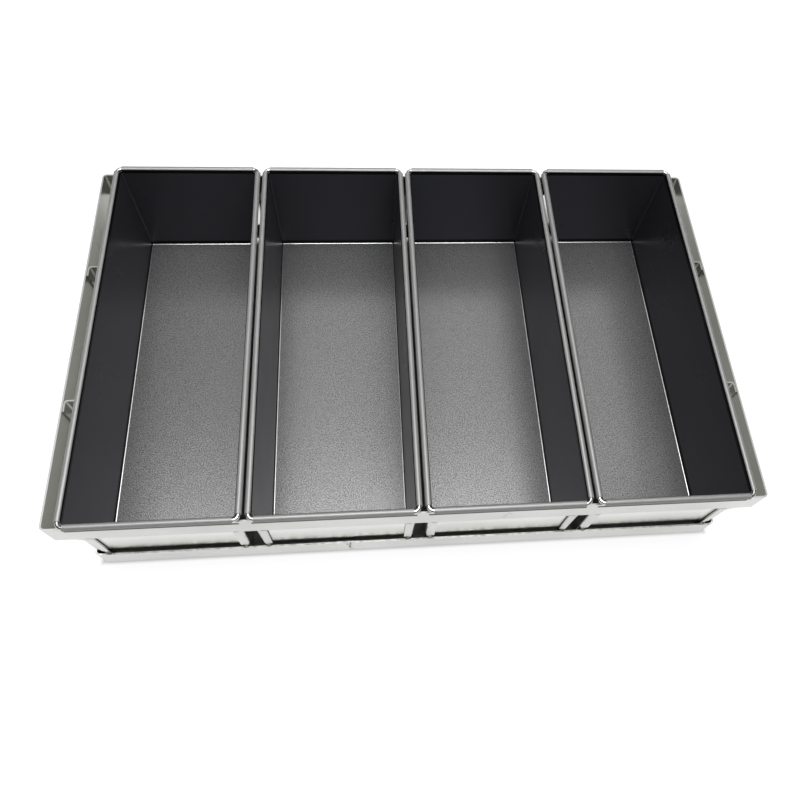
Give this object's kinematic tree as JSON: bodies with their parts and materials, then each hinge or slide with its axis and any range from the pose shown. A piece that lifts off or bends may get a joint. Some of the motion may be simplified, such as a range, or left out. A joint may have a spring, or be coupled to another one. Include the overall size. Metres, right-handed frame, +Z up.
{
  "type": "strapped pullman loaf pan set",
  "caption": "Strapped set of deep straight-sided loaf pans with wired rims, held side by side by an upper and a lower sheet strap.",
  "frame": {"origin": "bottom centre of the set, on its resting plane", "axes": "+X along the row of pans towards the last pan, +Y along each pan towards the rear, +Z up"},
  "size_m": [0.496, 0.305, 0.097],
  "materials": {
    "pan_sheet": "dark non-stick coating, satin, fine orange peel",
    "strap_steel": "bare aluminised steel sheet, smooth satin",
    "wire_steel": "drawn steel wire, bright"
  },
  "bodies": {
    "root": {"pan_1": "pan_sheet", "pan_2": "pan_sheet", "pan_3": "pan_sheet", "pan_4": "pan_sheet", "rim_wire_1": "wire_steel", "rim_wire_2": "wire_steel", "rim_wire_3": "wire_steel", "rim_wire_4": "wire_steel", "upper_strap": "strap_steel", "lower_strap": "strap_steel", "bracket_left_front": "strap_steel", "bracket_left_rear": "strap_steel", "bracket_right_front": "strap_steel", "bracket_right_rear": "strap_steel"}
  },
  "joints": []
}
